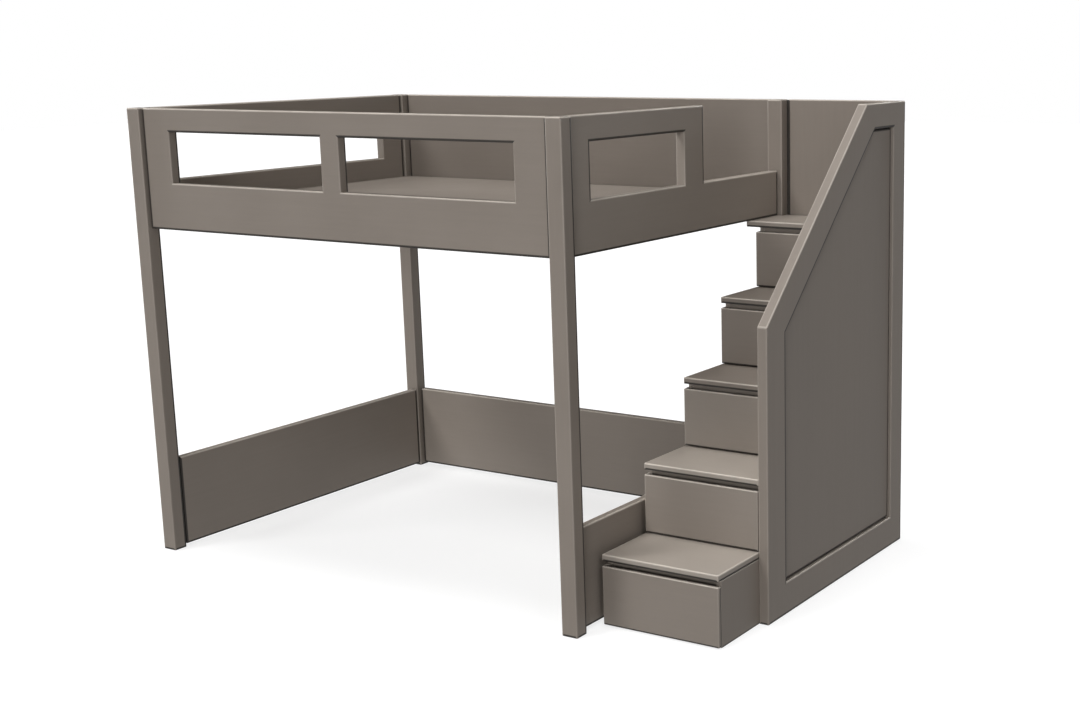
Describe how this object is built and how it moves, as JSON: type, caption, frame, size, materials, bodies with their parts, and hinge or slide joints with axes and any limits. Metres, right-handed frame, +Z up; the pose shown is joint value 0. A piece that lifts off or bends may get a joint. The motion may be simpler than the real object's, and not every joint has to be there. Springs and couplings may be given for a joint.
{
  "type": "loft bed with storage stairs",
  "caption": "Painted wooden loft bed on posts, with windowed guards, an open bay below and a staircase whose steps hold sliding drawers.",
  "frame": {"origin": "on the floor, under the middle of the whole object", "axes": "+X along the bed's long front to the right, where the stairs are; +Y from the front to the back; +Z up"},
  "size_m": [2.549, 1.512, 1.75],
  "materials": {
    "painted_wood": "satin taupe-grey paint over fine-grained wood",
    "bare_pine": "planed, unpainted",
    "birch_ply": "sanded and clear lacquered",
    "runner_steel": "zinc plated"
  },
  "bodies": {
    "frame": {"post_front_left": "painted_wood", "post_front_right": "painted_wood", "post_back_left": "painted_wood", "post_back_right": "painted_wood", "guard_front": "painted_wood", "guard_left": "painted_wood", "guard_right": "painted_wood", "guard_back": "painted_wood", "low_board_left": "painted_wood", "low_board_back": "painted_wood", "low_board_right": "painted_wood", "deck": "painted_wood", "stair_inner_side": "painted_wood", "stair_side_frame": "painted_wood", "stair_side_panel": "painted_wood", "stair_cheek": "painted_wood", "stair_back_panel": "painted_wood", "tread_1": "painted_wood", "tread_2": "painted_wood", "tread_3": "painted_wood", "tread_4": "painted_wood", "tread_5": "painted_wood", "groove_rail_1": "painted_wood", "groove_rail_2": "painted_wood", "groove_rail_3": "painted_wood", "groove_rail_4": "painted_wood", "groove_rail_5": "painted_wood", "ledger_front": "bare_pine", "ledger_back": "bare_pine", "centre_beam": "bare_pine", "slat_1": "bare_pine", "slat_2": "bare_pine", "slat_3": "bare_pine", "slat_4": "bare_pine", "slat_5": "bare_pine", "runner_1_left": "runner_steel", "runner_1_right": "runner_steel", "runner_2_left": "runner_steel", "runner_2_right": "runner_steel", "runner_3_left": "runner_steel", "runner_3_right": "runner_steel", "runner_4_left": "runner_steel", "runner_4_right": "runner_steel", "runner_5_left": "runner_steel", "runner_5_right": "runner_steel"},
    "drawer_1": {"drawer_front_1": "painted_wood", "drawer_box_1": "birch_ply", "drawer_bottom_1": "birch_ply"},
    "drawer_2": {"drawer_front_2": "painted_wood", "drawer_box_2": "birch_ply", "drawer_bottom_2": "birch_ply"},
    "drawer_3": {"drawer_front_3": "painted_wood", "drawer_box_3": "birch_ply", "drawer_bottom_3": "birch_ply"},
    "drawer_4": {"drawer_front_4": "painted_wood", "drawer_box_4": "birch_ply", "drawer_bottom_4": "birch_ply"},
    "drawer_5": {"drawer_front_5": "painted_wood", "drawer_box_5": "birch_ply", "drawer_bottom_5": "birch_ply"}
  },
  "joints": [
    {"name": "drawer_1_slide", "type": "slide", "parent": "frame", "child": "drawer_1", "axis": [0, -1, 0], "range_m": [0, 0.4]},
    {"name": "drawer_2_slide", "type": "slide", "parent": "frame", "child": "drawer_2", "axis": [0, -1, 0], "range_m": [0, 0.4]},
    {"name": "drawer_3_slide", "type": "slide", "parent": "frame", "child": "drawer_3", "axis": [0, -1, 0], "range_m": [0, 0.4]},
    {"name": "drawer_4_slide", "type": "slide", "parent": "frame", "child": "drawer_4", "axis": [0, -1, 0], "range_m": [0, 0.4]},
    {"name": "drawer_5_slide", "type": "slide", "parent": "frame", "child": "drawer_5", "axis": [0, -1, 0], "range_m": [0, 0.2]}
  ]
}
